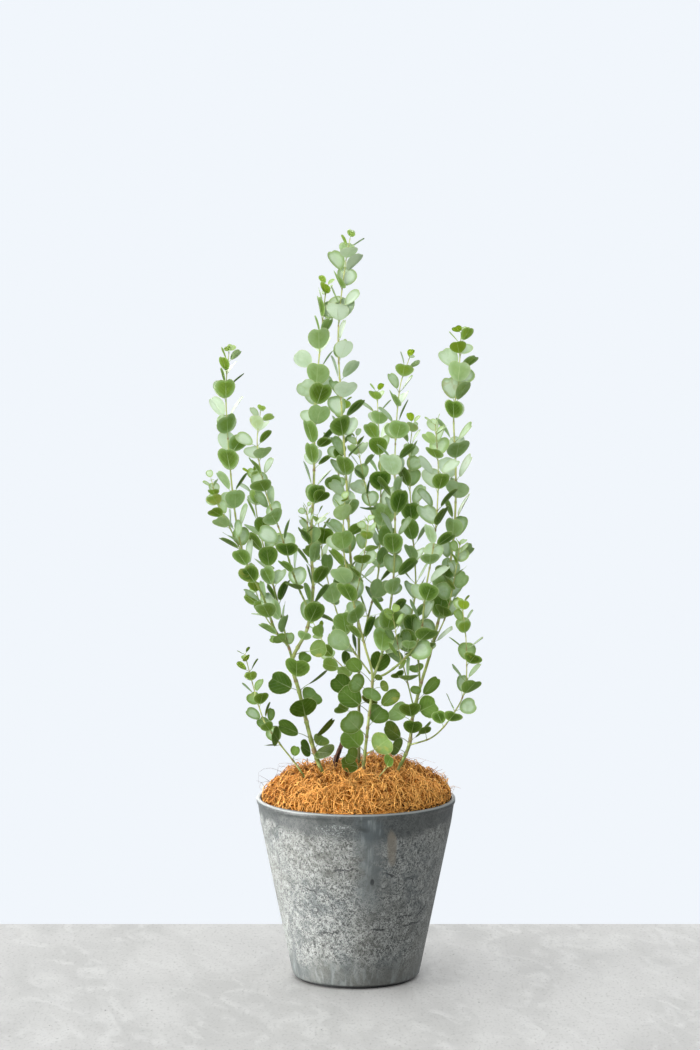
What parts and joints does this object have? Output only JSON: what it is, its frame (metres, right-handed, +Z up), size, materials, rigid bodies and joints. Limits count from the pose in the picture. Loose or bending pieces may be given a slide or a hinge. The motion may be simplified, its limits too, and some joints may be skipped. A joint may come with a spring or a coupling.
{
  "type": "potted round-leaved mallee",
  "caption": "Potted round-leaved mallee: slender branching stems with paired round grey-green leaves, rising from coconut-fibre mulch in a tapered round stone-like planter.",
  "frame": {"origin": "centre of the planter's flat underside, on its axis, at the level of the surface it stands on", "axes": "+Z up along the planter's axis, +X to the right of the plant's best side, -Y towards its viewer"},
  "size_m": [0.3696, 0.2708, 1.0205],
  "materials": {
    "planter": "matte marbled grey resin and stone powder",
    "soil": "dark crumbly potting soil",
    "mulch": "matted coconut fibre",
    "dead_wood": "dry rough bark",
    "leaves": "waxy grey-green leaves on smooth yellow-green stems"
  },
  "bodies": {
    "root": {"pot": "planter", "potting_soil": "soil", "coir_mulch": "mulch", "dead_stub": "dead_wood", "stem_left": "leaves", "stem_centre": "leaves", "stem_tall": "leaves", "stem_right": "leaves", "stem_small_left": "leaves", "stem_sprig": "leaves"}
  },
  "joints": []
}
